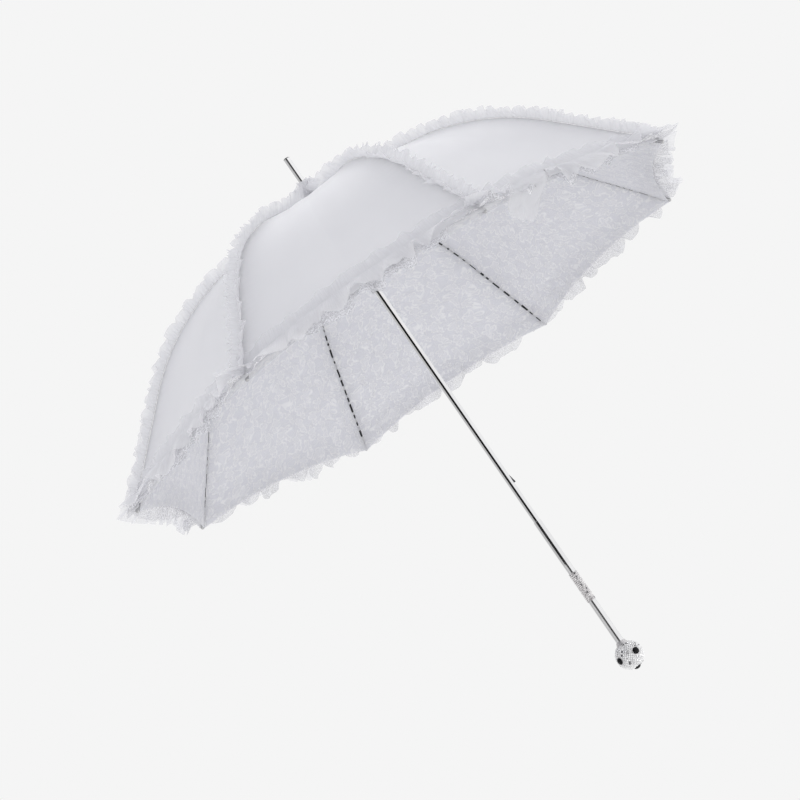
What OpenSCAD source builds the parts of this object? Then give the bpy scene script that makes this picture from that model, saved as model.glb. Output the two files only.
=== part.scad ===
// Lace parasol: a folding eight-rib frame on a thin steel shaft, with a satin cover,
// a lace lining, gathered ruffles and a stone-set ball handle.
// Millimetres. +Z runs up the shaft. The origin is the middle of the bare handle tube, where it is held.

/* [Frame] */
// Radius of the circle through the rib tips, parasol open
rib_tip_radius = 385; // [375:1:395]
// Height of the rib tips above the origin
rib_tip_z = 287; // [280:1:295]
// Height of the rib hinges above the rib tips
dome_height = 217; // [212:1:222]
// Slope of a rib near the crown, in degrees
inner_slope = 11.5; // [11:0.5:12]
// Slope of a rib near its tip, in degrees
outer_slope = 47.25; // [46:0.25:48]
// Radius of a rib's bend
bend_radius = 300; // [280:5:320]
// Distance along a rib from its hinge to the stretcher's rivet
stretcher_at = 224; // [222:1:226]

/* [Shaft and handle] */
// Outer diameter of the shaft tube
shaft_d = 8; // [8:0.1:8.1]
// Height of the ferrule's top end
ferrule_top_z = 569; // [560:1:580]
// Outer diameter of the handle tube
handle_d = 9.4; // [9.3:0.1:9.8]
// Height of the handle tube's top end
handle_top_z = 36; // [34:1:38]
// Length of the stone-set grip band
band_length = 39; // [30:1:45]
// Outer diameter of the grip band
band_d = 11.2; // [11:0.1:11.8]
// Height of the ball's centre
ball_z = -150; // [-155:1:-145]
// Diameter of the ball under its stones
ball_d = 32; // [31:0.5:33]

/* [Runner and catches] */
// Height of the runner's lower end, parasol open
runner_bottom_z = 376.5; // [375:0.5:378]
// Outer diameter of the runner's sleeve
runner_d = 11.6; // [11.4:0.1:11.7]
// Height of the stretcher hinges on the runner above its lower end
runner_hinge_h = 23.5; // [23:0.5:24]
// Height of the lower catch's ledge, which holds the runner down
lower_ledge_z = 88.3; // [88:0.1:90]
// How far each catch stands out of the shaft
catch_proud = 2; // [1.5:0.1:2.2]

/* [Cloth] */
// Thickness of the cover
cover_t = 0.8; // [0.6:0.1:1]
// Gap from a rib's centre line to the cover above it
cover_gap = 2.6; // [2.4:0.1:3]
// Gap from a rib's centre line to the lining below it
lining_gap = 1.9; // [1.8:0.1:2.2]
// Width of the hem ruffle beyond the rib tips
hem_ruffle = 30; // [20:1:36]
// Height of the seam ruffles above the cover
seam_ruffle = 13; // [8:1:16]

/* [Hidden] */
$fn = 48;
cut = 0.5;

// Ribs: the first stands at half a gore from +X
rib_count = 8;
gore = 360 / rib_count;
function rib_angle(i) = gore * (i - 0.5);

// Colours
chrome = [0.80, 0.80, 0.82];
dark_steel = [0.25, 0.25, 0.27];
satin = [0.93, 0.93, 0.95];
lace = [0.85, 0.86, 0.89];
crystal = [0.82, 0.83, 0.84];
jet = [0.03, 0.03, 0.03];

// Shaft
shaft_r = shaft_d / 2;
bore_r = shaft_r - 0.8;
shaft_foot_z = 6;
fit = 0.05;

// Rib centre line, in a plane through the shaft: straight, one bend, straight
hinge_r = 10;
hinge_z = rib_tip_z + dome_height;
bend_run = bend_radius * (sin(outer_slope) - sin(inner_slope));
bend_drop = bend_radius * (cos(inner_slope) - cos(outer_slope));
straight_run = rib_tip_radius - hinge_r - bend_run;
straight_drop = dome_height - bend_drop;
slope_det = cos(inner_slope) * sin(outer_slope) - cos(outer_slope) * sin(inner_slope);
inner_len = (straight_run * sin(outer_slope) - straight_drop * cos(outer_slope)) / slope_det;
outer_len = (straight_drop * cos(inner_slope) - straight_run * sin(inner_slope)) / slope_det;
bend_len = bend_radius * (outer_slope - inner_slope) * PI / 180;
rib_len = inner_len + bend_len + outer_len;

// Slope, point and offset point at a distance s along the rib, as [radius, height]
function slope_at(s) = s <= inner_len ? inner_slope
    : min(outer_slope, inner_slope + (s - inner_len) / bend_radius * 180 / PI);
function bend_point(a) = [hinge_r + inner_len * cos(inner_slope) + bend_radius * (sin(a) - sin(inner_slope)),
                          hinge_z - inner_len * sin(inner_slope) - bend_radius * (cos(inner_slope) - cos(a))];
function rib_point(s) = s <= inner_len ? [hinge_r + s * cos(inner_slope), hinge_z - s * sin(inner_slope)]
    : bend_point(slope_at(s)) + max(0, s - inner_len - bend_len) * [cos(outer_slope), -sin(outer_slope)];
function off_point(s, d) = rib_point(s) + d * [sin(slope_at(s)), cos(slope_at(s))];

// Rib section and its narrow hinge end
rib_w = 3;
rib_h = 2.6;
rib_wall = 0.5;
lap = 0.5;
bend_thinned = 0.01;
blade_t = 1.5;
slot_w = 2;
channel_from = 5.2;
wire_r = 0.6;
wire_hole_r = 0.66;
rivet_r = 0.8;

// Crown
crown_r = 12.2;
crown_slot_floor = 7.6;
crown_tooth_z = [hinge_z - 3, hinge_z + 2.5];
crown_foot_z = hinge_z - 12;
crown_rivet_z = hinge_z - 8;
crown_rivet_r = 1;
hub_r = 6.5;

// Runner
runner_hinge_z = runner_bottom_z + runner_hinge_h;
runner_top_z = runner_hinge_z + 8;
runner_bore_r = shaft_r + 0.06;
runner_r = runner_d / 2;
window_z = [runner_bottom_z + 4.5, runner_bottom_z + 16];

// Stretcher: from its rivet on the rib to the open hook that lies under the runner's wire
rivet_point = rib_point(stretcher_at);
hook_point = [hinge_r, runner_hinge_z - 1.9];
stretcher_reach = rivet_point - hook_point;
stretcher_len = norm(stretcher_reach);
stretcher_slope = atan2(stretcher_reach[1], stretcher_reach[0]);
stretcher_w = 2.6;
stretcher_h = 2;
rivet_end = 12;
eye_r = 1.05;
eye_window = [3.2, 1.9];
hook_end = 14;

// Catches
blade_w = 1.2;
blade_x = [-0.7, bore_r - 0.2];
catch_x = shaft_r + catch_proud;
ramp_len = 11.5;

// Handle
band_top_z = -36;
stone_r = 4;
stone_turn = 35.7;
ball_r = ball_d / 2;
tube_foot_z = ball_z + 4;

// Cloth
cloth_steps = 22;
cloth_from = -5.2;
lining_from = 15;
lining_to = rib_len - 10;
lining_t = 0.6;
slit_w = 4.2;
cloth_split = 0.4;
hem_folds = [0, 3];
seam_ruffle_t = 2;

// Places a shape drawn in the XZ plane at rib i
module at_rib(i) {
    rotate([0, 0, rib_angle(i)]) children();
}

// Places a shape at a point of the XZ plane, with its X axis sloping down by a
module on_slope(p, a) {
    translate([p[0], 0, p[1]]) rotate([0, a, 0]) children();
}

// A bar lying across the XZ plane at a point
module cross_bar(p, r, len) {
    translate([p[0], 0, p[1]]) rotate([90, 0, 0]) cylinder(h = len, r = r, center = true);
}

module tube(r_out, r_in, z0, z1) {
    translate([0, 0, z0]) difference() {
        cylinder(h = z1 - z0, r = r_out);
        translate([0, 0, -cut]) cylinder(h = z1 - z0 + 2 * cut, r = r_in);
    }
}

module ring_wire(z) {
    translate([0, 0, z]) rotate_extrude() translate([hinge_r, 0]) circle(r = wire_r, $fn = 24);
}

// Slots for the blades of eight ribs or stretchers, with the groove that holds their wire
module hinge_slots(z0, z1, wire_z) {
    for (i = [1 : rib_count]) at_rib(i)
        translate([crown_slot_floor, -slot_w / 2, z0]) cube([crown_r, slot_w, z1 - z0]);
    translate([0, 0, wire_z]) rotate_extrude()
        translate([hinge_r - wire_r - fit, -wire_r - fit]) square([crown_r, 2 * (wire_r + fit)]);
}

// Shaft

module shaft_tube() {
    color(chrome) difference() {
        tube(shaft_r, bore_r, shaft_foot_z, ferrule_top_z - 1);
        catch_slot(window_z[0] - 1, window_z[1] + 1);
        catch_slot(lower_ledge_z - 1.5, lower_ledge_z + ramp_len + 1.5);
        translate([0, 0, crown_rivet_z]) rotate([0, 90, 0])
            cylinder(h = 2 * shaft_d, r = crown_rivet_r + 0.03, center = true);
    }
}

module catch_slot(z0, z1) {
    translate([0, -blade_w / 2 - 0.2, z0]) cube([shaft_d, blade_w + 0.4, z1 - z0]);
}

module ferrule_cap() {
    top = ferrule_top_z - 1;
    color(dark_steel) {
        translate([0, 0, top - 8]) cylinder(h = 8, r = bore_r - fit);
        translate([0, 0, top]) cylinder(h = 0.6, r = shaft_r);
        translate([0, 0, top + 0.6]) cylinder(h = 0.6, r1 = shaft_r - 0.1, r2 = shaft_r - 0.9);
    }
}

module crown() {
    color(chrome) difference() {
        union() {
            translate([0, 0, crown_tooth_z[0]])
                cylinder(h = crown_tooth_z[1] - crown_tooth_z[0], r = crown_r);
            translate([0, 0, crown_foot_z]) cylinder(h = crown_tooth_z[0] - crown_foot_z, r = hub_r);
        }
        translate([0, 0, crown_foot_z - cut]) cylinder(h = 30, r = shaft_r + fit);
        hinge_slots(crown_tooth_z[0] - cut, crown_tooth_z[1] + cut, hinge_z);
        translate([0, 0, crown_rivet_z]) rotate([0, 90, 0])
            cylinder(h = 3 * hub_r, r = crown_rivet_r + 0.03, center = true);
    }
}

module crown_wire() {
    color(dark_steel) ring_wire(hinge_z);
}

module crown_rivet() {
    color(dark_steel) translate([0, 0, crown_rivet_z]) rotate([0, 90, 0]) {
        cylinder(h = 2 * hub_r + 0.2, r = crown_rivet_r, center = true);
        for (side = [-1, 1]) translate([0, 0, side * (hub_r + 0.4)])
            cylinder(h = 0.6, r = 1.7, center = true);
    }
}

module cover_washer() {
    z = off_point(0, cover_lift(0) + cover_t)[1] + 1.6;
    color(chrome) tube(9, shaft_r + fit, z, z + 1.2);
}

// Gathered lace round the foot of the ferrule
module top_rosette() {
    z = off_point(0, cover_lift(0) + cover_t)[1] + 3;
    color(lace) translate([0, 0, z]) rotate_extrude() polygon([
        [shaft_r + 0.2, 0], [11, 0], [14.5, 5], [15, 12], [12, 20], [8, 24], [shaft_r + 0.2, 24]
    ]);
}

module handle_tube() {
    color(chrome) difference() {
        tube(handle_d / 2, shaft_r + fit, tube_foot_z, handle_top_z);
        translate([0, 0, handle_top_z - 0.4]) difference() {
            cylinder(h = 1, r = handle_d);
            translate([0, 0, -0.01]) cylinder(h = 1.1, r1 = handle_d / 2, r2 = handle_d / 2 - 0.9);
        }
    }
}

module grip_band() {
    color(crystal) tube(band_d / 2, handle_d / 2 + fit, band_top_z - band_length, band_top_z);
}

// Directions of the ball's round black stones: four round the middle and one at the end
module at_stones() {
    translate([0, 0, ball_z]) {
        for (k = [0 : 3]) rotate([0, 90, stone_turn + 90 * k]) children();
        rotate([180, 0, 0]) children();
    }
}

module ball_core() {
    color(crystal) difference() {
        union() {
            translate([0, 0, ball_z]) sphere(r = ball_r, $fn = 96);
            translate([0, 0, ball_z + ball_r - 2]) cylinder(h = 5, r1 = 7.6, r2 = handle_d / 2 + 0.7);
        }
        translate([0, 0, tube_foot_z - 0.2]) cylinder(h = 40, r = handle_d / 2 + fit);
        at_stones() translate([0, 0, ball_r - 2.2]) cylinder(h = 10, r = stone_r + fit);
    }
}

module black_stones() {
    color(jet) at_stones() translate([0, 0, ball_r - 2.1]) {
        cylinder(h = 2.6, r = stone_r);
        intersection() {
            translate([0, 0, 2.6 - 4.2]) sphere(r = sqrt(pow(4.2, 2) + pow(stone_r, 2)));
            translate([0, 0, 2.6]) cylinder(h = 5, r = stone_r);
        }
    }
}

// Runner

module runner() {
    color(chrome) difference() {
        union() {
            translate([0, 0, runner_bottom_z])
                cylinder(h = runner_top_z - runner_bottom_z, r = runner_r);
            translate([0, 0, runner_hinge_z - 3.5]) cylinder(h = 7, r = crown_r);
        }
        translate([0, 0, runner_bottom_z - cut])
            cylinder(h = runner_top_z - runner_bottom_z + 2 * cut, r = runner_bore_r);
        hinge_slots(runner_hinge_z - 4, runner_hinge_z + 4, runner_hinge_z);
        translate([0, -1.6, window_z[0]]) cube([crown_r, 3.2, window_z[1] - window_z[0]]);
    }
}

module runner_wire() {
    color(dark_steel) ring_wire(runner_hinge_z);
}

// Lace wrap round the lower end of the runner
module runner_lace() {
    color(lace) tube(runner_r + 0.35, runner_r + 0.02, runner_bottom_z, runner_bottom_z + 4.2);
}

// One catch: a flat spring with a tooth, its ledge at z = 0 and its ramp running down
module catch() {
    rotate([90, 0, 0]) linear_extrude(height = blade_w, center = true) polygon([
        [blade_x[0], -ramp_len - 7], [blade_x[1], -ramp_len - 7], [blade_x[1], -ramp_len],
        [shaft_r - 0.1, -ramp_len], [catch_x, 0], [blade_x[1], 0], [blade_x[1], 5], [blade_x[0], 5]
    ]);
}

module upper_catch() {
    color(chrome) translate([0, 0, window_z[1] - 0.3]) catch();
}

module lower_catch() {
    color(chrome) translate([0, 0, lower_ledge_z]) mirror([0, 0, 1]) catch();
}

// Ribs

// The rib's channel section, open on its -X side, with its walls thinned by d on both faces
module channel_section(d) {
    difference() {
        square([rib_h - 2 * d, rib_w - 2 * d], center = true);
        translate([-rib_h / 2 - cut, -rib_w / 2 + rib_wall - d])
            square([rib_h - rib_wall + cut + d, rib_w - 2 * rib_wall + 2 * d]);
    }
}

// A straight length of channel along +X, open downwards
module straight_channel(len) {
    rotate([90, 0, 90]) linear_extrude(height = len) rotate([0, 0, 90]) channel_section(0);
}

// The bend, a hair slimmer than the straight lengths, which lap over its ends
module bent_channel() {
    centre = off_point(inner_len, -bend_radius);
    translate([centre[0], 0, centre[1]]) rotate([90, 0, 0]) rotate([0, 0, 90 - outer_slope])
        rotate_extrude(angle = outer_slope - inner_slope, $fn = 360)
            translate([bend_radius, 0]) channel_section(bend_thinned);
}

module rib(i) {
    color(chrome) at_rib(i) difference() {
        union() {
            on_slope([hinge_r, hinge_z], inner_slope) {
                rotate([90, 0, 0]) cylinder(h = blade_t, r = 2, center = true);
                translate([0, -blade_t / 2, -rib_h / 2]) cube([channel_from + 3, blade_t, rib_h]);
                translate([channel_from, 0, 0]) straight_channel(inner_len - channel_from + lap);
            }
            bent_channel();
            on_slope(rib_point(inner_len + bend_len), outer_slope)
                translate([-lap, 0, 0]) straight_channel(outer_len + lap);
        }
        cross_bar([hinge_r, hinge_z], wire_hole_r, 10);
        cross_bar(rivet_point, rivet_r + fit, 10);
        on_slope(rivet_point, slope_at(stretcher_at)) stretcher_window();
    }
}

// Opening in the rib's roof, over the eye of the stretcher
module stretcher_window() {
    translate([-eye_window[0] / 2, -eye_window[1] / 2, 0]) cube([eye_window[0], eye_window[1], rib_h]);
}

// Metal cap on the rib's end, where the hem is sewn on
module rib_tip(i) {
    color(dark_steel) at_rib(i) on_slope(rib_point(rib_len), outer_slope) difference() {
        union() {
            translate([-6, 0, 0]) rotate([0, 90, 0]) cylinder(h = 8, r = 2.1);
            translate([2, 0, 0]) sphere(r = 2.1);
        }
        translate([-7, -rib_w / 2 - 0.03, -rib_h / 2 - 0.03]) cube([7, rib_w + 0.06, rib_h + 0.06]);
    }
}

// A stretcher with its rivet, flattened at both ends. Its lower end is an open hook under the wire.
module stretcher(i) {
    color(chrome) at_rib(i) on_slope(rivet_point, 180 - stretcher_slope) {
        rotate([90, 0, 0]) cylinder(h = rib_w + 0.8, r = rivet_r, center = true);
        for (side = [-1, 1]) translate([0, side * (rib_w / 2 + 0.5), 0])
            rotate([90, 0, 0]) cylinder(h = 0.6, r = 1.35, center = true);
        rotate([90, 0, 0]) cylinder(h = blade_t, r = eye_r, center = true);
        translate([0, -blade_t / 2, -stretcher_h / 2]) cube([stretcher_len, blade_t, stretcher_h]);
        translate([rivet_end, -stretcher_w / 2, -stretcher_h / 2])
            cube([stretcher_len - rivet_end - hook_end, stretcher_w, stretcher_h]);
        translate([stretcher_len, 0, 0]) rotate([90, 0, 0])
            cylinder(h = blade_t, r = stretcher_h / 2, center = true);
    }
}

// Cloth

// Gap from the rib's centre line to the underside of the cover: it rises over the crown
function cover_lift(s) = cover_gap + 1.6 * max(0, 1 - s / 40);

// Row of three points, from just short of the middle of one gore, over the rib, to the next gore
function cloth_row(p) = let (
        half = p[0] * sin(gore / 2) - cloth_split / 2,
        x = p[0] - half * sin(gore / 2),
        y = half * cos(gore / 2)
    ) [[x, -y, p[1]], [p[0], 0, p[1]], [x, y, p[1]]];

// Closed shell through two lists of points: its outer face and its inner face
module cloth_shell(outer, inner) {
    n = len(outer);
    points = concat([for (p = outer) each cloth_row(p)], [for (p = inner) each cloth_row(p)]);
    below = 3 * n;
    faces = concat(
        [for (k = [0 : n - 2], c = [0, 1]) [3 * k + c, 3 * k + c + 1, 3 * k + c + 4, 3 * k + c + 3]],
        [for (k = [0 : n - 2], c = [0, 1])
            [below + 3 * k + c, below + 3 * k + c + 3, below + 3 * k + c + 4, below + 3 * k + c + 1]],
        [for (k = [0 : n - 2]) [3 * k, 3 * k + 3, below + 3 * k + 3, below + 3 * k]],
        [for (k = [0 : n - 2]) [3 * k + 2, below + 3 * k + 2, below + 3 * k + 5, 3 * k + 5]],
        [for (c = [0, 1]) [c, below + c, below + c + 1, c + 1]],
        [for (c = [0, 1]) let (e = 3 * (n - 1) + c) [e, e + 1, below + e + 1, below + e]]
    );
    polyhedron(points = points, faces = faces, convexity = 6);
}

// The satin panel with its hem ruffle, which is thicker, and the gathered ruffle on its seam
module cover(i) {
    steps = [for (k = [0 : cloth_steps]) cloth_from + (rib_len - cloth_from) * k / cloth_steps];
    hem = [rib_len + 1, rib_len + hem_ruffle];
    outer = concat(
        [for (s = steps) off_point(s, cover_lift(s) + cover_t)],
        [for (s = hem) off_point(s, cover_gap + hem_folds[1])]
    );
    inner = concat(
        [for (s = steps) off_point(s, cover_lift(s))],
        [for (s = hem) off_point(s, cover_gap + hem_folds[0])]
    );
    color(satin) at_rib(i) {
        cloth_shell(outer, inner);
        seam_ruffle_solid();
    }
}

// The gathered ruffle that stands on the seam over a rib
module seam_ruffle_solid() {
    steps = [for (k = [2 : cloth_steps]) cloth_from + (rib_len - cloth_from) * k / cloth_steps];
    low = [for (s = steps) off_point(s, cover_lift(s) + cover_t / 2)];
    high = [for (k = [len(steps) - 1 : -1 : 0])
        off_point(steps[k], cover_lift(steps[k]) + cover_t + seam_ruffle)];
    rotate([90, 0, 0]) linear_extrude(height = seam_ruffle_t, center = true) polygon(concat(low, high));
}

module lining(i) {
    steps = [for (k = [0 : cloth_steps]) lining_from + (lining_to - lining_from) * k / cloth_steps];
    outer = [for (s = steps) off_point(s, -lining_gap)];
    inner = [for (s = steps) off_point(s, -lining_gap - lining_t)];
    color(lace) at_rib(i) difference() {
        cloth_shell(outer, inner);
        on_slope(rivet_point, slope_at(stretcher_at)) translate([-11, -slit_w / 2, -8]) cube([14, slit_w, 8]);
    }
}

shaft_tube();
ferrule_cap();
crown();
crown_wire();
crown_rivet();
cover_washer();
top_rosette();
handle_tube();
grip_band();
ball_core();
black_stones();
runner();
runner_wire();
runner_lace();
upper_catch();
lower_catch();
for (i = [1 : rib_count]) {
    rib(i);
    rib_tip(i);
    stretcher(i);
    cover(i);
    lining(i);
}
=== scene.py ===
"""The looks of the lace parasol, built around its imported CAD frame.

Metres, +Z up the shaft. Cloth is built one gore at a time, from the middle of one panel over a rib
to the middle of the next, so that each gore rides on its own rib.
"""
import math

import bpy
import numpy as np
from mathutils import Matrix, Vector


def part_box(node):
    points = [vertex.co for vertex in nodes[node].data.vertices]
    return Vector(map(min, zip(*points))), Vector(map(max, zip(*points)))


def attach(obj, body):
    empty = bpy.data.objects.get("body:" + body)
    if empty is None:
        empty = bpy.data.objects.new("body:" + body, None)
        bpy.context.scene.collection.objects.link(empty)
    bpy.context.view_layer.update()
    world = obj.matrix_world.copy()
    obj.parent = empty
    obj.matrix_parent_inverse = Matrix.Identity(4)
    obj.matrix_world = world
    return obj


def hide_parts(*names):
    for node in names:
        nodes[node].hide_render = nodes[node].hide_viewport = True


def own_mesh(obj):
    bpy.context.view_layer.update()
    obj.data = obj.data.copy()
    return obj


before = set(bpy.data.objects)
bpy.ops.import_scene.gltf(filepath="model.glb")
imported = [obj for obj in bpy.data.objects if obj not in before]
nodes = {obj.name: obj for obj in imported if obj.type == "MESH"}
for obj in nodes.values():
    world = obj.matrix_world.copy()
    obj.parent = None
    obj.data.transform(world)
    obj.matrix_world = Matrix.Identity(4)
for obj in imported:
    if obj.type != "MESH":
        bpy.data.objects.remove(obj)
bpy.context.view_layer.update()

# ---------------------------------------------------------------- sizes shared with the CAD model
RIBS = 8
GORE = 2 * math.pi / RIBS
SIN_HALF, COS_HALF = math.sin(GORE / 2), math.cos(GORE / 2)
HINGE_R, HINGE_Z = 0.010, 0.504
TIP_R, TIP_Z = 0.385, 0.287
INNER_SLOPE, OUTER_SLOPE = math.radians(11.5), math.radians(47.25)
BEND_R = 0.300
COVER_AT, COVER_RISE, RISE_LEN = 0.0030, 0.0016, 0.040
LINING_AT = -0.0017
RUNNER_R, RUNNER_Z = 0.0058, 0.3765
HANDLE_R = 0.0047
BAND_TOP, BAND_LEN, BAND_R = -0.036, 0.039, 0.0056
BALL_Z, BALL_R = -0.150, 0.016
STONE_R, STONE_TURN = 0.004, math.radians(35.7)

_run = TIP_R - HINGE_R - BEND_R * (math.sin(OUTER_SLOPE) - math.sin(INNER_SLOPE))
_drop = HINGE_Z - TIP_Z - BEND_R * (math.cos(INNER_SLOPE) - math.cos(OUTER_SLOPE))
_det = math.sin(OUTER_SLOPE - INNER_SLOPE)
INNER_LEN = (_run * math.sin(OUTER_SLOPE) - _drop * math.cos(OUTER_SLOPE)) / _det
OUTER_LEN = (_drop * math.cos(INNER_SLOPE) - _run * math.sin(INNER_SLOPE)) / _det
BEND_LEN = BEND_R * (OUTER_SLOPE - INNER_SLOPE)
RIB_LEN = INNER_LEN + BEND_LEN + OUTER_LEN


def rib_angle(i):
    return GORE * (i - 0.5)


def rib_line(s, d):
    """Radius, height and slope at a distance s along a rib, d off its centre line on the outer side."""
    s, d = np.broadcast_arrays(np.asarray(s, float), np.asarray(d, float))
    a = np.clip(INNER_SLOPE + (s - INNER_LEN) / BEND_R, INNER_SLOPE, OUTER_SLOPE)
    first = np.minimum(s, INNER_LEN)
    last = np.maximum(0, s - INNER_LEN - BEND_LEN)
    r = HINGE_R + first * math.cos(INNER_SLOPE) + BEND_R * (np.sin(a) - math.sin(INNER_SLOPE))
    z = HINGE_Z - first * math.sin(INNER_SLOPE) - BEND_R * (math.cos(INNER_SLOPE) - np.cos(a))
    r = r + last * math.cos(OUTER_SLOPE) + d * np.sin(a)
    z = z - last * math.sin(OUTER_SLOPE) + d * np.cos(a)
    return r, z, a


def cover_at(s):
    """How far the satin lies off a rib's centre line: it rises over the crown."""
    return COVER_AT + COVER_RISE * np.clip(1 - np.asarray(s, float) / RISE_LEN, 0, 1)


SAG = 0.005         # how far the cloth sinks in the middle of a panel
HEM_DIP = 0.016     # how far the hem is drawn up in the middle of a panel


def panel(s, u, d):
    """Points of gore 0's cloth, whose rib stands along +X: u runs from -1 to 1 across the gore."""
    s, u, d = np.broadcast_arrays(s, u, d)
    r, z, a = rib_line(s, d)
    half = r * SIN_HALF
    side, across = np.sign(u), np.abs(u)
    p = np.stack([r - across * half * SIN_HALF, u * half * COS_HALF, z], -1)
    sag = SAG * np.sin(math.pi * np.clip(s / RIB_LEN, 0, 1)) * (1 - (1 - across) ** 2)
    inward = np.stack([np.sin(a) * COS_HALF, side * np.sin(a) * SIN_HALF, np.cos(a)], -1)
    return p - sag[..., None] * inward


def dip(u):
    """How far the hem is drawn up between two rib tips."""
    return HEM_DIP * (1 - (1 - np.abs(u)) ** 2)


def drawn(s, u):
    """The distance along the ribs, on cloth whose hem is drawn up between them."""
    return s - dip(u) * np.clip(s / RIB_LEN, 0, 1) ** 2


def unit(v):
    return v / np.linalg.norm(v, axis=-1, keepdims=True)


def waves(h, span, counts, seed):
    """A smooth random line of height about 1, with a period of span."""
    rng = np.random.default_rng(seed)
    out = np.zeros_like(h)
    for k in counts:
        start = rng.uniform(0, 2 * math.pi)
        out = out + np.sin(2 * math.pi * k * h / span + start) * rng.uniform(0.5, 1)
    return out / math.sqrt(len(counts))


# ---------------------------------------------------------------- meshes
def mesh_object(name, points, faces, material, uv=None, smooth=True):
    points = np.asarray(points).reshape(-1, 3)
    if isinstance(faces, np.ndarray):
        used, faces = np.unique(faces, return_inverse=True)
        faces = faces.reshape(-1, 4).tolist()
        points = points[used]
        uv = uv.reshape(-1, 2)[used]
    mesh = bpy.data.meshes.new(name)
    mesh.from_pydata(points.tolist(), [], faces)
    mesh.polygons.foreach_set("use_smooth", [smooth] * len(mesh.polygons))
    if uv is not None:
        corner = np.zeros(len(mesh.loops), int)
        mesh.loops.foreach_get("vertex_index", corner)
        layer = mesh.uv_layers.new(name="cloth")
        layer.data.foreach_set("uv", uv[corner].astype(np.float32).ravel())
    mesh.materials.append(material)
    obj = bpy.data.objects.new(name, mesh)
    bpy.context.scene.collection.objects.link(obj)
    return obj


def quads(rows, columns, keep=None):
    index = np.arange(rows * columns).reshape(rows, columns)
    faces = np.stack([index[:-1, :-1], index[1:, :-1], index[1:, 1:], index[:-1, 1:]], -1)
    return faces[keep] if keep is not None else faces.reshape(-1, 4)


def turn(points, angle):
    c, s = math.cos(angle), math.sin(angle)
    return points @ np.array([[c, s, 0], [-s, c, 0], [0, 0, 1.0]])


# ---------------------------------------------------------------- materials
class Nodes:
    """Short ways to write the nodes of a tree."""

    def __init__(self, tree):
        self.tree = tree

    def put(self, value, socket):
        if isinstance(value, bpy.types.NodeSocket):
            self.tree.links.new(value, socket)
        else:
            socket.default_value = value

    def add(self, kind, inputs=(), out=0, **settings):
        n = self.tree.nodes.new("ShaderNode" + kind)
        for key, value in settings.items():
            setattr(n, key, value)
        for key, value in dict(inputs).items():
            self.put(value, n.inputs[key])
        return n.outputs[out]

    def math(self, op, a, b=0.0, c=0.0):
        return self.add("Math", {0: a, 1: b, 2: c}, operation=op)

    def mix(self, share, a, b):
        return self.add("Mix", {0: share, 6: a, 7: b}, out=2, data_type="RGBA")

    def ramp(self, value, low, high, to_low=0.0, to_high=1.0):
        return self.add("MapRange", {0: value, 1: low, 2: high, 3: to_low, 4: to_high})

    def scaled(self, vector, x, y, z=1.0):
        return self.add("Mapping", {"Vector": vector, "Scale": (x, y, z)})

    def noise(self, vector, scale, detail=2.0):
        return self.add("TexNoise", {"Vector": vector, "Scale": scale, "Detail": detail})


class Look(Nodes):
    """A Principled material. Its plain values go on the shader's own sockets."""

    def __init__(self, name, color, rough, **plain):
        self.mat = bpy.data.materials.new(name)
        self.mat.use_nodes = True
        super().__init__(self.mat.node_tree)
        self.bsdf = self.tree.nodes["Principled BSDF"]
        self.bsdf.inputs["Base Color"].default_value = (*color, 1)
        self.bsdf.inputs["Roughness"].default_value = rough
        for key, value in plain.items():
            self.bsdf.inputs[key.replace("_", " ")].default_value = value

    def bump(self, height, distance, strength=1.0):
        normal = self.add("Bump", {"Height": height, "Distance": distance, "Strength": strength})
        self.tree.links.new(normal, self.bsdf.inputs["Normal"])

    def place(self, which):
        return self.add("TexCoord", out={"object": 3, "uv": 2}[which])

    def translucent(self, share, color):
        """Lets some of the light through from the other side, as thin cloth does."""
        glow = self.add("BsdfTranslucent", {"Color": color})
        mixed = self.add("MixShader", {0: share, 1: self.bsdf.outputs[0], 2: glow})
        self.tree.links.new(mixed, self.tree.nodes["Material Output"].inputs["Surface"])


def rgb(r, g, b):
    return (r, g, b, 1.0)


def flowers(look, uv, cell_u, cell_v, reach, petals, shift):
    """A half-drop repeat of round flowers: how far inside a petal's outline each point lies."""
    x, y = (look.add("SeparateXYZ", {0: uv}, out=k) for k in (0, 1))
    row = look.math("ADD", look.math("DIVIDE", y, cell_v), shift)
    column = look.math("ADD", look.math("DIVIDE", x, cell_u), shift)
    drop = look.math("MULTIPLY", look.math("FLOORED_MODULO", look.math("FLOOR", row), 2.0), 0.5)
    column = look.math("ADD", column, drop)
    cell = look.add("CombineXYZ", {0: look.math("FLOOR", column), 1: look.math("FLOOR", row)})
    turned = look.math("MULTIPLY", look.add("TexWhiteNoise", {0: cell}), 6.283)
    px = look.math("MULTIPLY", look.math("SUBTRACT", look.math("FRACT", column), 0.5), cell_u)
    py = look.math("MULTIPLY", look.math("SUBTRACT", look.math("FRACT", row), 0.5), cell_v)
    angle = look.math("ADD", look.math("ARCTAN2", py, px), turned)
    radius = look.math("POWER", look.math("ADD", look.math("MULTIPLY", px, px),
                                          look.math("MULTIPLY", py, py)), 0.5)
    lobes = look.math("ABSOLUTE", look.math("COSINE", look.math("MULTIPLY", angle, petals / 2)))
    edge = look.math("MULTIPLY_ADD", lobes, 0.55 * reach, 0.45 * reach)
    return look.math("SUBTRACT", edge, radius)


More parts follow.
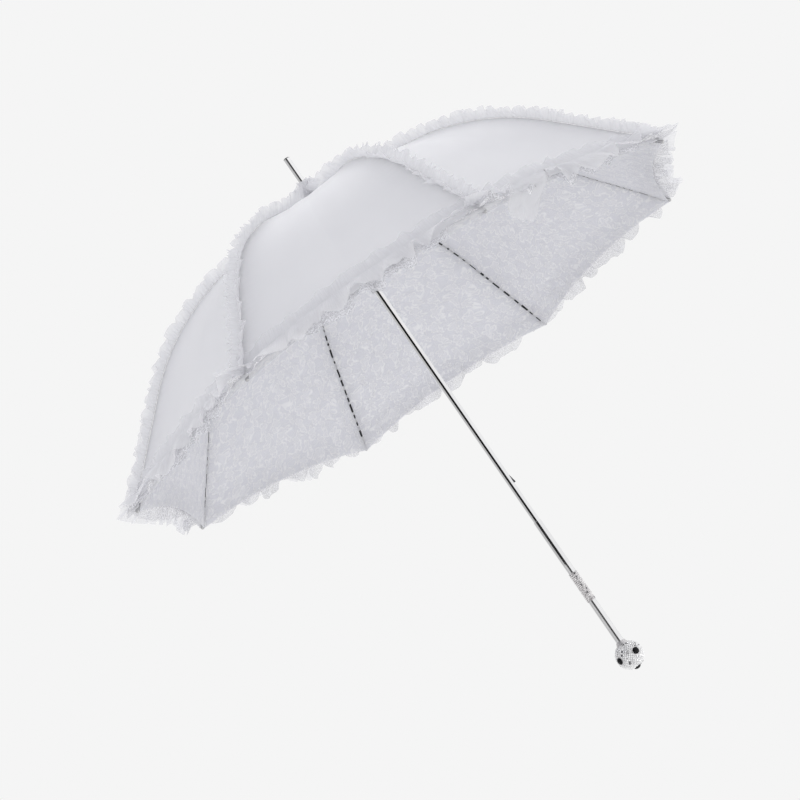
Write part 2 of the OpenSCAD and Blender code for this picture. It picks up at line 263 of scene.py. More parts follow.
def lace_pattern(look, uv, cell_u, cell_v, reach):
    """1 on the cords and filled leaves of a floral lace, 0 on its net."""
    pulled = look.add("TexNoise", {"Vector": uv, "Scale": 38.0, "Detail": 1.0}, out=1)
    pulled = look.add("VectorMath", {0: pulled, 1: (0.5, 0.5, 0.5)}, operation="SUBTRACT")
    pulled = look.add("VectorMath", {0: pulled, 1: (cell_u, cell_u, 0)}, operation="MULTIPLY")
    uv = look.add("VectorMath", {0: uv, 1: pulled}, operation="ADD")
    big = flowers(look, uv, cell_u, cell_v, reach, 5.0, 0.0)
    small = flowers(look, uv, cell_u, cell_v, 0.62 * reach, 4.0, 0.5)
    nearest = look.math("MAXIMUM", big, small)
    cord = look.ramp(look.math("ABSOLUTE", nearest), 0.0017, 0.0005)
    leaf = look.ramp(nearest, 0.0018, 0.0030, 0.0, 0.30)
    drift = look.noise(uv, 55.0, 1.0)
    wander = look.math("ADD", look.add("SeparateXYZ", {0: uv}, out=1),
                       look.math("MULTIPLY", drift, 0.03))
    vine = look.math("ABSOLUTE", look.math("SINE", look.math("MULTIPLY", wander, 2 * math.pi / cell_v)))
    vine = look.ramp(vine, 0.20, 0.08, 0.0, 0.8)
    return look.math("MAXIMUM", look.math("MAXIMUM", cord, leaf), vine)


def net_pattern(look, uv, pitch):
    """1 on the threads of a fine net, 0 in its holes."""
    cells = look.add("TexVoronoi", {"Vector": uv, "Scale": 1 / pitch}, feature="DISTANCE_TO_EDGE")
    return look.ramp(cells, 0.16, 0.06)


def satin_look():
    k = Look("satin", (0.80, 0.80, 0.83), 0.46, Sheen_Weight=0.08, Sheen_Roughness=0.4,
             Specular_IOR_Level=0.22)
    uv = k.place("uv")
    threads = k.noise(k.scaled(uv, 5200, 700), 1.0, 1.0)
    cloud = k.noise(uv, 9.0, 2.0)
    tone = k.mix(k.ramp(cloud, 0.35, 0.65), rgb(0.80, 0.80, 0.815), rgb(0.835, 0.835, 0.845))
    tone = k.mix(k.ramp(threads, 0.3, 0.7, 0.0, 0.25), tone, rgb(0.86, 0.86, 0.88))
    k.put(tone, k.bsdf.inputs["Base Color"])
    k.put(k.ramp(threads, 0.3, 0.7, 0.36, 0.48), k.bsdf.inputs["Roughness"])
    k.bump(threads, 0.00006)
    k.translucent(0.36, rgb(0.92, 0.92, 0.94))
    return k.mat


def lining_look():
    k = Look("lining_lace", (0.7, 0.7, 0.75), 0.75, Sheen_Weight=0.15)
    uv = k.place("uv")
    work = lace_pattern(k, uv, 0.027, 0.019, 0.0082)
    net = net_pattern(k, uv, 0.0017)
    # The net's holes are painted darker: painted shade of the satin lying behind the lining, seen through
    # them.
    net_with_shaded_holes = k.mix(net, rgb(0.68, 0.685, 0.73), rgb(0.78, 0.785, 0.82))
    k.put(k.mix(work, net_with_shaded_holes, rgb(0.90, 0.90, 0.92)), k.bsdf.inputs["Base Color"])
    k.bump(k.math("ADD", work, k.math("MULTIPLY", net, 0.4)), 0.0004)
    k.translucent(0.42, k.mix(work, rgb(0.90, 0.90, 0.94), rgb(0.98, 0.98, 0.99)))
    return k.mat


def organza_look():
    k = Look("organza", (0.84, 0.84, 0.87), 0.6, Specular_IOR_Level=0.3)
    uv = k.place("uv")
    weave = k.add("TexChecker", {"Vector": k.scaled(uv, 2200, 2200), "Scale": 1.0}, out=1)
    slub = k.noise(k.scaled(uv, 700, 40), 1.0, 2.0)
    k.put(k.mix(slub, rgb(0.73, 0.73, 0.755), rgb(0.83, 0.83, 0.85)), k.bsdf.inputs["Base Color"])
    alpha = k.math("MULTIPLY_ADD", slub, 0.16, 0.42)
    k.put(k.math("MULTIPLY_ADD", weave, 0.08, alpha), k.bsdf.inputs["Alpha"])
    k.bump(slub, 0.00005)
    k.translucent(0.24, rgb(0.86, 0.86, 0.88))
    return k.mat


def trim_look():
    k = Look("edge_lace", (0.85, 0.85, 0.88), 0.7, Specular_IOR_Level=0.3)
    uv = k.place("uv")
    work = lace_pattern(k, uv, 0.015, 0.011, 0.0046)
    net = net_pattern(k, uv, 0.0019)
    k.put(k.mix(work, rgb(0.70, 0.70, 0.73), rgb(0.84, 0.84, 0.865)), k.bsdf.inputs["Base Color"])
    k.put(k.math("MAXIMUM", k.ramp(work, 0.2, 0.5, 0.0, 0.80), k.math("MULTIPLY_ADD", net, 0.25, 0.42)),
          k.bsdf.inputs["Alpha"])
    k.bump(work, 0.0003)
    return k.mat


def metal_look(name, color, rough, stretch=(900, 900, 40), vary=0.06):
    k = Look(name, color, rough, Metallic=1.0)
    place = k.place("object")
    grain = k.noise(k.scaled(place, *stretch), 1.0, 2.0)
    marks = k.noise(place, 45.0, 3.0)
    dark = rgb(*(0.86 * c for c in color))
    k.put(k.mix(k.ramp(marks, 0.40, 0.75, 0.0, 0.5), rgb(*color), dark), k.bsdf.inputs["Base Color"])
    k.put(k.math("MULTIPLY_ADD", grain, vary, rough), k.bsdf.inputs["Roughness"])
    k.bump(grain, 0.00002, 0.3)
    return k.mat


def stone_look(name, dull, clear):
    """Foil-backed cut stones: each one is a little different, and a few are painted dark grey as painted dark
    reflections.
    """
    k = Look(name, clear, 0.10, Metallic=0.85, Specular_IOR_Level=0.8)
    island = k.add("NewGeometry", out=8)
    tone = k.mix(k.ramp(island, 0.0, 1.0), rgb(*dull), rgb(*clear))
    # A few stones are painted dark grey: a painted dark reflection in those stones.
    k.put(k.mix(k.ramp(island, 0.040, 0.048), rgb(0.16, 0.16, 0.17), tone), k.bsdf.inputs["Base Color"])
    k.put(k.ramp(k.noise(k.place("object"), 900.0), 0.3, 0.7, 0.06, 0.16), k.bsdf.inputs["Roughness"])
    return k.mat


def jet_look():
    k = Look("jet", (0.005, 0.005, 0.006), 0.09, Specular_IOR_Level=0.16)
    k.put(k.ramp(k.noise(k.place("object"), 260.0), 0.3, 0.7, 0.05, 0.14), k.bsdf.inputs["Roughness"])
    k.put(k.mix(k.noise(k.place("object"), 120.0), rgb(0.003, 0.003, 0.004), rgb(0.009, 0.009, 0.010)),
          k.bsdf.inputs["Base Color"])
    return k.mat


SATIN, LINING, ORGANZA, TRIM = satin_look(), lining_look(), organza_look(), trim_look()
CHROME = metal_look("chrome", (0.90, 0.90, 0.91), 0.05)
TUBE = metal_look("handle_steel", (0.86, 0.86, 0.87), 0.10, vary=0.06)
STEEL = metal_look("frame_steel", (0.30, 0.30, 0.32), 0.26)
DARK = metal_look("dark_steel", (0.30, 0.30, 0.31), 0.30)
CRYSTAL = stone_look("ball_crystal", (0.80, 0.80, 0.81), (0.98, 0.98, 0.98))
BAND_CRYSTAL = stone_look("band_crystal", (0.70, 0.68, 0.69), (0.97, 0.96, 0.96))
RIB = metal_look("rib_steel", (0.085, 0.085, 0.095), 0.34)
TIP = metal_look("tip_steel", (0.55, 0.55, 0.56), 0.36)
BLACKENED = metal_look("blackened_steel", (0.022, 0.022, 0.024), 0.42)
SETTING = metal_look("stone_setting", (0.70, 0.69, 0.70), 0.38, vary=0.2)
JET = jet_look()

FINISH = {"shaft_tube": CHROME, "handle_tube": TUBE, "black_stones": JET, "ball_core": SETTING,
          "ferrule_cap": BLACKENED, "crown_wire": DARK, "crown_rivet": DARK, "runner_wire": DARK}


def finish_of(name):
    """The finish of a part that is shown as the CAD has it."""
    if name.startswith("rib_tip"):
        return TIP
    return RIB if name.startswith("rib_") else FINISH.get(name, STEEL)


for name, o in nodes.items():
    for slot in o.material_slots:
        slot.material = finish_of(name)

# ---------------------------------------------------------------- the satin cover and its lace lining
PUCKER, PUCKER_FADE = 0.0007, 0.011    # height of the puckers at a seam, and how far they reach


def on_rib(obj, i):
    """The piece folds with rib i."""
    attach(obj, f"rib_{i}")
    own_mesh(obj)


def cover(i):
    s = np.concatenate([np.linspace(-0.0052, 0.006, 5)[:-1], np.linspace(0.006, RIB_LEN + 0.0032, 150)])
    side = np.concatenate([[0, 0.004], np.linspace(0.015, 0.16, 11)[:-1], np.linspace(0.16, 1, 16)])
    u = np.concatenate([-side[:0:-1], side])
    S, U = np.meshgrid(s, u, indexing="ij")
    S = drawn(S, U)
    p = panel(S, U, cover_at(S))
    r, z, a = rib_line(S, 0)
    off = np.abs(U) * r * SIN_HALF
    normal = np.stack([np.sin(a) * COS_HALF, np.sign(U) * np.sin(a) * SIN_HALF, np.cos(a)], -1)
    drift = 1.5 * waves(S, 0.5, (3, 7, 11), i)
    seam = PUCKER * np.exp(-off / PUCKER_FADE) * np.sin(2 * math.pi * S / 0.0093 + drift)
    h = i + U / 2
    hem = PUCKER * np.exp(-(s[-1] - s)[:, None] / PUCKER_FADE) * np.sin(2 * math.pi * 27 * h)
    pull = 0.0009 * waves(h, RIBS, (9, 21, 34), 5) * np.clip(S / 0.2, 0, 1) * (1 - (1 - np.abs(U)) ** 3)
    p = p + ((seam + hem + pull) * np.clip(off / 0.002, 0, 1))[..., None] * normal
    uv = np.stack([U * r * SIN_HALF + 0.31 * i, S], -1)
    o = mesh_object(f"cover_satin_{i}", turn(p, rib_angle(i)), quads(*S.shape), SATIN, uv)
    on_rib(o, i)
    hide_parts(f"cover_{i}")


# Least and greatest length of a slit and of the stitched bridge after it, and half width of a slit
SLIT, BRIDGE, SLIT_HALF = (0.003, 0.014), (0.003, 0.010), (0.0006, 0.0021)


def lining(i):
    """The lining has a row of slits along its rib, between the stitches that hold it there."""
    rng = np.random.default_rng(300 + i)
    first, last = 0.015, RIB_LEN + 0.002
    s, slit_rows, wide = [first], [], [SLIT_HALF[1]]
    while s[-1] < last - SLIT[1] - BRIDGE[1]:
        a = s[-1]
        bridge, slit = rng.uniform(*BRIDGE), rng.uniform(*SLIT)
        s += [a + bridge / 2, a + bridge]
        slit_rows += [False, False]
        s += [a + bridge + slit * k / 3 for k in (1, 2, 3)]
        slit_rows += [a > 0.05] * 3
        wide += [rng.uniform(*SLIT_HALF)] * 5
    s += [last]
    wide += [SLIT_HALF[1]]
    slit_rows += [False]
    s = np.array(s)
    slits = np.array(slit_rows)
    d = (LINING_AT - 0.0009 * np.clip((s - RIB_LEN + 0.03) / 0.02, 0, 1))[:, None]
    r, z, a = rib_line(s, d[:, 0])
    t = np.linspace(0, 1, 22)
    half = (r * SIN_HALF)[:, None]
    slit_half = np.array(wide)[:, None]
    off = slit_half + (half - slit_half) * t[None, :]
    off = np.concatenate([-off[:, ::-1], np.zeros((len(s), 1)), off], 1)
    U = off / half
    S = drawn(s[:, None], U)
    p = panel(S, U, d)
    normal = np.stack([np.sin(a)[:, None] * COS_HALF + 0 * U, np.sign(U) * np.sin(a)[:, None] * SIN_HALF,
                       np.cos(a)[:, None] + 0 * U], -1)
    h = i + U / 2
    ripple = 0.0010 * waves(h, RIBS, (31, 44, 57), 8) * waves(S, 0.9, (3, 5, 8), 9)
    ripple = ripple + 0.0005 * np.exp(-np.abs(off) / 0.008) * np.sin(2 * math.pi * S / 0.017)
    p = p - (np.abs(ripple) * np.clip(np.abs(off) / 0.004, 0, 1))[..., None] * normal
    keep = np.ones((len(s) - 1, U.shape[1] - 1), bool)
    middle = U.shape[1] // 2
    keep[slits, middle - 1:middle + 1] = False
    uv = np.stack([off + 0.013 * i, S], -1)
    o = mesh_object(f"lining_lace_{i}", turn(p, rib_angle(i)), quads(*U.shape, keep=keep), LINING, uv)
    on_rib(o, i)
    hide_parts(f"lining_{i}")


# ---------------------------------------------------------------- gathered ruffles
def frill(base, down, normal, along, rows, phase, swell, swing, reach, fine=None):
    """Points of a gathered strip sewn along a line: rows are the distances from the stitches, swell and
    swing the size of its folds at the free edge, off the cloth and along it, reach the strip's share of
    its full depth and fine the little pleats at the stitches."""
    opened = (rows / rows.max()) ** 0.8
    out = swell[:, None] * opened * np.sin(phase)[:, None]
    if fine is not None:
        out = out + fine[:, None] * np.exp(-rows / 0.007) * (rows > 1e-5)
    slide = swing[:, None] * opened * np.sin(2 * phase)[:, None]
    return (base[:, None] + down[:, None] * (rows[None, :] * reach[:, None])[..., None]
            + normal[:, None] * out[..., None] + along[:, None] * slide[..., None])


def strip_uv(points, rows):
    """Flat coordinates of a strip: its own length along the free edge, and the distance from the stitches."""
    step = np.linalg.norm(np.diff(points[:, -1], axis=0), axis=-1)
    length = np.concatenate([[0], np.cumsum(step)])
    return np.stack(np.broadcast_arrays(length[:, None], rows[None, :]), -1)


def hem_frame(columns, s, d):
    u = np.linspace(-1, 1, columns)
    base = panel(s - dip(u), u, d)
    down = unit(panel(s - dip(u) + 0.004, u, d) - panel(s - dip(u) - 0.004, u, d))
    step = 0.03
    along = unit(panel(s - dip(u + step), u + step, d) - panel(s - dip(u - step), u - step, d))
    along = unit(along - (along * down).sum(-1, keepdims=True) * down)
    return u, base, down, unit(np.cross(down, along)), along


SCALLOPS = 52


def scallops(h, seed):
    """Rounded lobes round the hem, 0 between them: they come in different widths and depths."""
    x = SCALLOPS * h / RIBS + 0.40 * waves(h, RIBS, (7, 19, 31), seed)
    wide = 0.46 + 0.05 * waves(h, RIBS, (11, 23), seed + 1)
    deep = 0.80 + 0.20 * waves(h, RIBS, (13, 29), seed + 2)
    return deep * np.clip(1 - ((x - np.floor(x) - 0.5) / wide) ** 2, 0, 1) ** 0.85


# The way down as the parasol is held, tilted on its shaft: the loosest flap hangs that way, off the slope
HANG = np.array([-0.574, 0.123, -0.810])
LIMP_AT, LIMP_HALF = 7.26, 0.30
# Loose flaps of the organza: place round the hem in ribs, half width in ribs, how much deeper they hang
FLAPS = ((4.60, 0.60, 0.42), (8.52, 0.60, 0.40), (6.16, 0.13, 0.50), (7.26, 0.11, 1.05),
         (7.58, 0.15, 0.45), (5.32, 0.12, 0.30), (1.45, 0.08, 0.25), (2.60, 0.09, 0.30),
         (3.35, 0.07, 0.35))
FOLDS = (62, 139, 337)                     # big, middling and small folds round the whole hem
CORNER_FLARE, CORNER_HALF = 0.017, 0.42    # how far the hem stands off at a rib tip, and how wide
POINT, POINT_HALF = 0.20, 0.15             # how much shorter the strips are at a rib tip, and how wide
SLIDE = 0.0024                             # how far the folds lean along the hem
LIMP, LIMP_FROM = 0.75, 0.020              # how limp the loosest flap hangs, and where that starts
STITCH_UP = 0.014                          # height of the organza's stitches over the hem


def flaps(h):
    """How far the loose flaps hang beyond the rest of the ruffle."""
    out = 0 * h
    for middle, half, depth in FLAPS:
        away = np.mod(h - middle + RIBS / 2, RIBS) - RIBS / 2
        out = out + depth * np.clip(1 - (away / half) ** 2, 0, 1) ** 0.4
    return out


def gathers(h, seed, big, middle, small):
    """Soft, uneven folds round the hem, as a fall and rise off the cloth."""
    one = np.sin(2 * math.pi * FOLDS[0] * h / RIBS + 1.5 * waves(h, RIBS, (17, 29, 43), seed))
    two = np.sin(2 * math.pi * FOLDS[1] * h / RIBS + 1.8 * waves(h, RIBS, (23, 37, 61), seed + 1))
    three = np.sin(2 * math.pi * FOLDS[2] * h / RIBS + 2.0 * waves(h, RIBS, (61, 83), seed + 2))
    return big * one * (1 + 0.4 * waves(h, RIBS, (13, 21), seed + 3)) + middle * two + small * three


def hem_strip(kind, i, s, d, rows, seed, folds, reach, lift, look, columns=401):
    """A gathered strip sewn on round the hem. rows are the distances from its stitches."""
    u, base, down, normal, along = hem_frame(columns, s, d)
    h = i + u / 2
    opened = (np.abs(rows) / rows.max()) ** 0.9
    out = gathers(h, seed, *folds)[:, None] * opened
    corner = np.exp(-(u / CORNER_HALF) ** 2)[:, None]
    out = out + lift[None, :] + CORNER_FLARE * corner * np.clip(rows / rows.max(), 0, 1) ** 1.2
    point = -POINT * np.exp(-(u / POINT_HALF) ** 2)
    v = np.where(rows[None, :] > 0, rows[None, :] * (reach(h) + point)[:, None], rows[None, :])
    slide = SLIDE * opened * np.cos(2 * math.pi * FOLDS[0] * h / RIBS + 1.0)[:, None]
    limp = np.clip(1 - ((h - LIMP_AT) / LIMP_HALF) ** 2, 0, 1)[:, None] * np.clip(v / LIMP_FROM - 1, 0, 1)
    hang = turn(HANG[None, :], -rib_angle(i))[0]
    points = (base[:, None] + down[:, None] * (v * (1 - LIMP * limp))[..., None]
              + hang * (v * LIMP * limp)[..., None] + normal[:, None] * out[..., None]
              + along[:, None] * slide[..., None])
    o = mesh_object(f"{kind}_{i}", turn(points.reshape(-1, 3), rib_angle(i)),
                    quads(*points.shape[:2]), look, strip_uv(points, rows))
    on_rib(o, i)
    return o


def hem_ruffle(i):
    """Organza, gathered on a line of stitches above the hem: a header above it, a skirt below."""
    rows = np.concatenate([np.linspace(-0.015, 0, 9)[:-1], np.linspace(0, 0.037, 18)])
    lift = np.where(rows < 0, 0.22 * np.abs(rows), 0.10 * rows + 0.0016 * np.sin(math.pi * rows / 0.037))

    def reach(h):
        return 0.50 + 0.40 * scallops(h, 41) * (1 - np.clip(1.5 * flaps(h), 0, 0.6)) + flaps(h)

    o = hem_strip("hem_ruffle", i, RIB_LEN - STITCH_UP, COVER_AT + 0.0014, rows, 21,
                  (0.0050, 0.0011, 0.0002), reach, lift, ORGANZA)


def hem_lace(i):
    """A lace edging under the organza, with the same rounded lobes."""
    rows = np.linspace(0, 0.029, 14)

    def reach(h):
        return 0.40 + 0.58 * scallops(h + 0.02, 41) + 0.04 * waves(h, RIBS, (29, 53), 35)

    o = hem_strip("hem_lace", i, RIB_LEN - 0.006, COVER_AT - 0.0008, rows, 51,
                  (0.0040, 0.0014, 0.0004), reach, -0.10 * rows, TRIM)


WING, WING_LEAN = 0.0170, math.radians(42)
PLEAT, WIDE_PLEAT, WIDE_PLEATED = 0.0150, 0.0205, (5,)     # length of a pleat; ribs with wide ones


def seam_ruffle(i):
    """A strip sewn down its middle along the seam over a rib, so that its two edges stand up in a V."""
    s = np.arange(0.016, RIB_LEN - 0.002, 0.0011)
    base = panel(s, 0.0, cover_at(s) + 0.0004)
    r, z, a = rib_line(s, 0)
    along = np.stack([np.cos(a), 0 * a, -np.sin(a)], -1)
    up = np.stack([np.sin(a), 0 * a, np.cos(a)], -1)
    cross = np.array([0, 1.0, 0])
    rows = WING * np.linspace(0, 1, 11) ** 1.4
    wings = []
    for k, sign in enumerate((-1, 1)):
        seed = 100 + 10 * i + k
        lean = WING_LEAN + 0.22 * waves(s, 0.5, (5, 13), seed)
        down = up * np.cos(lean)[:, None] + sign * cross * np.sin(lean)[:, None]
        normal = -up * np.sin(lean)[:, None] + sign * cross * np.cos(lean)[:, None]
        pleat = WIDE_PLEAT if i in WIDE_PLEATED else PLEAT
        phase = 2 * math.pi * s / pleat + 1.2 * waves(s, 0.5, (7, 12, 19), seed + 1)
        swell = 0.0024 * (1 + 0.35 * waves(s, 0.5, (15, 27), seed + 2))
        swing = 0.0010 * (1 + 0.3 * waves(s, 0.5, (11, 23), seed + 3))
        fine = 0.0008 * np.sin(2 * math.pi * s / 0.0052 + 1.6 * waves(s, 0.5, (23, 41), seed + 5))
        reach = 0.58 + 0.42 * np.abs(np.sin(phase / 2)) ** 0.5 + 0.07 * waves(s, 0.5, (17, 31), seed + 4)
        points = frill(base, down, normal, along, rows, phase, swell, swing, reach, fine)
        wings.append(points[:, :0:-1] if k == 0 else points)
    points = np.concatenate(wings, 1)
    across = np.concatenate([-rows[:0:-1], rows])
    uv = strip_uv(points, across)
    o = mesh_object(f"seam_ruffle_{i}", turn(points.reshape(-1, 3), rib_angle(i)),
                    quads(*points.shape[:2]), ORGANZA, uv)
    on_rib(o, i)


for i in range(1, RIBS + 1):
    cover(i)
    lining(i)
    hem_ruffle(i)
    hem_lace(i)
    seam_ruffle(i)


# ---------------------------------------------------------------- the rosette and the runner's frill
def ring_frill(name, body, z, r, tilt, width, folds, swell, swing, seed, steps=200):
    """A gathered strip round the shaft. tilt is its angle off the shaft's axis."""
    turns = np.linspace(0, 2 * math.pi, steps + 1)
    out = np.stack([np.cos(turns), np.sin(turns), 0 * turns], -1)
    along = np.stack([-np.sin(turns), np.cos(turns), 0 * turns], -1)
    up = np.array([0, 0, 1.0])
    lean = tilt + 0.12 * waves(turns, 2 * math.pi, (2, 3), seed)
    down = out * np.sin(lean)[:, None] + up * np.cos(lean)[:, None]
    normal = out * np.cos(lean)[:, None] - up * np.sin(lean)[:, None]
    rows = np.linspace(0, width, 12)
    phase = folds * turns + 0.8 * waves(turns, 2 * math.pi, (2, 5), seed + 1)
    swell = swell * (1 + 0.3 * waves(turns, 2 * math.pi, (3, 5), seed + 2))
    swing = np.full_like(turns, swing)
    reach = 1 + 0.10 * waves(turns, 2 * math.pi, (4, 7), seed + 3)
    points = frill(out * r + up * z, down, normal, along, rows, phase, swell, swing, reach)
    points[-1] = points[0]
    uv = strip_uv(points, rows)
    o = mesh_object(name, points.reshape(-1, 3), quads(*points.shape[:2]), ORGANZA, uv)
    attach(o, body)
    return o


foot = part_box("top_rosette")[0].z
frills = [
    ring_frill("rosette_skirt", "shaft", foot + 0.002, 0.0056, math.radians(92),
               0.010, 9, 0.0016, 0.0007, 201),
    ring_frill("rosette_outer", "shaft", foot + 0.002, 0.0055, math.radians(44),
               0.017, 7, 0.0036, 0.0016, 211),
    ring_frill("rosette_middle", "shaft", foot + 0.0025, 0.0050, math.radians(28),
               0.019, 6, 0.0030, 0.0014, 221),
    ring_frill("rosette_inner", "shaft", foot + 0.003, 0.0047, math.radians(14),
               0.018, 5, 0.0019, 0.0010, 231),
]
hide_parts("top_rosette")

wrap = ring_frill("runner_frill", "runner", RUNNER_Z + 0.0044, RUNNER_R + 0.0006, math.radians(174),
                  0.0104, 8, 0.0007, 0.0004, 241)
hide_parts("runner_lace")


# ---------------------------------------------------------------- set stones
def cut_stone(radius, height):
    """A small cut stone: a flat table, a ring of facets and a girdle, sitting on z = 0."""
    sides = 8
    turns = [2 * math.pi * k / sides for k in range(sides)]
    rings = [(radius, 0.0), (radius, 0.25 * height), (0.55 * radius, height)]
    points = [(r * math.cos(a + 0.39 * (n == 2)), r * math.sin(a + 0.39 * (n == 2)), z)
              for n, (r, z) in enumerate(rings) for a in turns]
    faces = [(k, (k + 1) % sides, sides + (k + 1) % sides, sides + k) for k in range(sides)]
    for k in range(sides):
        a, b = sides + k, sides + (k + 1) % sides
        c, d = 2 * sides + k, 2 * sides + (k + 1) % sides
        faces += [(a, b, c), (b, d, c)]
    faces += [tuple(2 * sides + k for k in range(sides)), tuple(reversed(range(sides)))]
    return np.array(points), faces


def set_stones(name, places, radius, height, material):
    """places are pairs of a stone's seat and the direction that it faces."""
    rng = np.random.default_rng(77)
    stone, stone_faces = cut_stone(radius, height)
    points, faces = [], []
    for seat, face in places:
        face = unit(np.asarray(face, float) + rng.normal(0, 0.13, 3))
        side = unit(np.cross(face, [0.31, 0.52, 0.79]))
        turned = rng.uniform(0, math.pi)
        x = side * math.cos(turned) + np.cross(face, side) * math.sin(turned)
        axes = np.stack([x, np.cross(face, x), face])
        faces += [tuple(len(points) * len(stone) + v for v in f) for f in stone_faces]
        points.append(stone @ axes + seat)
    o = mesh_object(name, np.concatenate(points), faces, material, smooth=False)
    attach(o, "shaft")
    return o


def band():
    """Rows of small stones on a thin sleeve round the handle tube."""
    profile = [(HANDLE_R + 0.00006, 0), (BAND_R - 0.0002, 0), (BAND_R - 0.0002, 0.0009),
               (BAND_R - 0.0007, 0.0012), (BAND_R - 0.0007, BAND_LEN - 0.0012),
               (BAND_R - 0.0002, BAND_LEN - 0.0009), (BAND_R - 0.0002, BAND_LEN),
               (HANDLE_R + 0.00006, BAND_LEN)]
    steps = 64
    turns = [2 * math.pi * k / steps for k in range(steps)]
    points = [(r * math.cos(a), r * math.sin(a), BAND_TOP - z) for a in turns for r, z in profile]
    n = len(profile)
    faces = [tuple(((k + a) % steps) * n + (j + b) % n for a, b in ((0, 0), (0, 1), (1, 1), (1, 0)))
             for k in range(steps) for j in range(n)]
    sleeve = mesh_object("band_sleeve", np.array(points), faces, SETTING, smooth=False)
    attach(sleeve, "shaft")
    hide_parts("grip_band")
    places, rows, around = [], 17, 15
    for row in range(rows):
        z = BAND_TOP - 0.0022 - row * (BAND_LEN - 0.0044) / (rows - 1)
        for k in range(around):
            a = 2 * math.pi * (k + 0.5 * (row % 2)) / around
            out = np.array([math.cos(a), math.sin(a), 0.0])
            places.append((out * (BAND_R - 0.0008) + np.array([0, 0, z]), out))
    return set_stones("band_stones", places, 0.00108, 0.0008, BAND_CRYSTAL)


def ball():
    """Small stones paved over the ball, with room for the five black stones and the tube."""
    centre = np.array([0, 0, BALL_Z])
    blacks = [np.array([math.cos(STONE_TURN + k * math.pi / 2), math.sin(STONE_TURN + k * math.pi / 2), 0])
              for k in range(4)] + [np.array([0, 0, -1.0])]
    count, places = 640, []
    for k in range(count):
        z = 1 - 2 * (k + 0.5) / count
        a = k * math.pi * (3 - math.sqrt(5))
        out = np.array([math.sqrt(1 - z * z) * math.cos(a), math.sqrt(1 - z * z) * math.sin(a), z])
        if z > 0.86 or max(float(out @ b) for b in blacks) > math.cos(5.1e-3 / BALL_R):
            continue
        places.append((centre + out * (BALL_R - 0.0002), out))
    return set_stones("ball_stones", places, 0.00126, 0.0010, CRYSTAL)


band()
ball()

# ---------------------------------------------------------------- studio
scene = bpy.context.scene
scene.view_settings.view_transform = "Standard"
scene.view_settings.look = "None"
scene.cycles.transparent_max_bounces = 24
BACKDROP = 0.913

world = bpy.data.worlds.new("studio")
scene.world = world
world.use_nodes = True
tree = world.node_tree
out_socket = tree.nodes["World Output"].inputs["Surface"]


sky = Nodes(tree)
direction = sky.add("TexCoord", out=0)
dx, dy, dz = (sky.add("SeparateXYZ", {0: direction}, out=k) for k in range(3))


def band_of_sky(middle, half, soft):
    """1 within half degrees of an azimuth, fading to 0 over soft degrees."""
    m = math.radians(middle)
    near = sky.math("ADD", sky.math("MULTIPLY", dx, math.cos(m)), sky.math("MULTIPLY", dy, math.sin(m)))
    flat = sky.math("POWER", sky.math("ADD", sky.math("MULTIPLY", dx, dx), sky.math("MULTIPLY", dy, dy)), 0.5)
    share = sky.math("DIVIDE", near, sky.math("MAXIMUM", flat, 0.001))
    return sky.ramp(share, math.cos(math.radians(half + soft)), math.cos(math.radians(half)))


core = sky.math("MULTIPLY", band_of_sky(-106, 34, 5), -0.93)
grey = sky.math("MULTIPLY", band_of_sky(-178, 38, 8), -0.40)
rear = sky.math("MULTIPLY", band_of_sky(90, 22, 14), -0.34)
seen = sky.math("ADD", sky.math("ADD", core, grey), sky.math("ADD", rear, 0.98))
seen = sky.math("MAXIMUM", seen, 0.03)
glossy = sky.add("Background", {0: seen, 1: 1.0})
ambient = sky.math("ADD", sky.ramp(dy, -1.0, 1.0, 0.80, 1.10), sky.ramp(dz, -1.0, 1.0, 0.10, 0.0))
ambient = sky.math("ADD", ambient, sky.ramp(dx, -1.0, 1.0, -0.06, 0.06))
tint = sky.mix(sky.ramp(dy, -1.0, 1.0), rgb(0.95, 0.955, 1.0), rgb(1, 1, 1))
soft_light = sky.add("Background", {0: tint, 1: ambient})
plain = sky.add("Background", {0: rgb(1, 1, 1), 1: BACKDROP})
lit = sky.add("MixShader", {0: sky.add("LightPath", out=3), 1: soft_light, 2: glossy})
sky.put(sky.add("MixShader", {0: sky.add("LightPath", out=0), 1: lit, 2: plain}), out_socket)

FLOOR_Z, FLOOR_HALF = -9.0, 200


def glowing(name, strength):
    look = bpy.data.materials.new(name)
    look.use_nodes = True
    links = look.node_tree
    links.nodes.remove(links.nodes["Principled BSDF"])
    paper = links.nodes.new("ShaderNodeEmission")
    paper.inputs["Strength"].default_value = strength
    links.links.new(paper.outputs[0], links.nodes["Material Output"].inputs["Surface"])
    return look


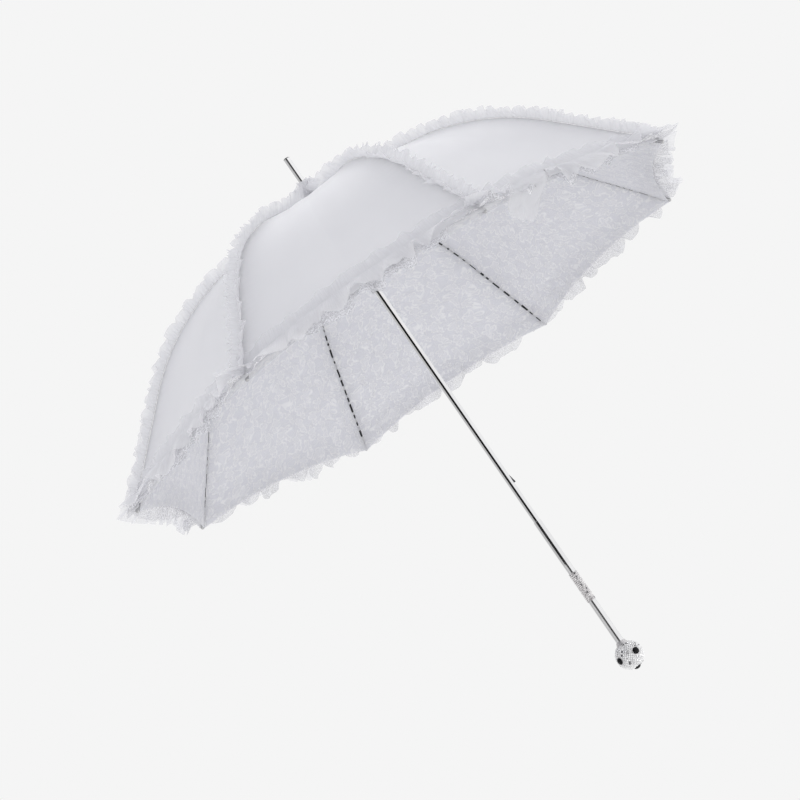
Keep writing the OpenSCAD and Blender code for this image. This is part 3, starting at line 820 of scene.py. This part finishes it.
corners = [(x * FLOOR_HALF, y * FLOOR_HALF, FLOOR_Z) for x, y in ((-1, -1), (1, -1), (1, 1), (-1, 1))]
floor = mesh_object("floor", corners, [(0, 1, 2, 3)], glowing("floor", BACKDROP))


CARD_R, CARD_Z = 0.06, (-0.02, 0.50)


def strip_of_studio(name, first, last, strength):
    """An upright curved card round the shaft, seen only in its reflection: degrees of azimuth."""
    turns = np.radians(np.linspace(first, last, 12))
    points = [(CARD_R * math.cos(a), CARD_R * math.sin(a), z) for a in turns for z in CARD_Z]
    faces = [(2 * k, 2 * k + 1, 2 * k + 3, 2 * k + 2) for k in range(len(turns) - 1)]
    card = mesh_object(name, points, faces, glowing(name, strength))
    card.visible_camera = card.visible_diffuse = card.visible_transmission = card.visible_shadow = False


for name, first, last, strength in (("core", -140, -72, 0.010), ("right", -72, 60, 0.92),
                                    ("back", 60, 150, 0.72), ("left", 150, 220, 0.55)):
    strip_of_studio("card_" + name, first, last, strength)


def area_light(name, place, size, power):
    lamp = bpy.data.lights.new(name, "AREA")
    lamp.shape = "DISK"
    lamp.size = size
    lamp.energy = power
    o = bpy.data.objects.new(name, lamp)
    o.location = place
    o.rotation_euler = (Vector((0, 0, 0.3)) - Vector(place)).to_track_quat("-Z", "Y").to_euler()
    scene.collection.objects.link(o)


area_light("key", (0.45, 1.9, 3.0), 2.4, 26)
area_light("fill", (-2.0, -2.2, 0.6), 2.0, 5)
area_light("under", (2.2, -0.5, -1.4), 2.0, 8)

# The camera stands low in front of the canopy and is turned on its side: the shaft runs down to the right.
right = Vector((0.8173, 0.1537, -0.5554)).normalized()
forward = Vector((-0.0563, 0.9804, 0.1884))
forward = (forward - right * forward.dot(right)).normalized()
up = right.cross(forward)
camera_data = bpy.data.cameras.new("camera")
camera_data.lens = 93.5
camera_data.sensor_width = 36
camera = bpy.data.objects.new("camera", camera_data)
rotation = Matrix((right, up, -forward)).transposed().to_4x4()
camera.matrix_world = Matrix.Translation((0.0864, -2.4016, -0.2156)) @ rotation
scene.collection.objects.link(camera)
scene.camera = camera
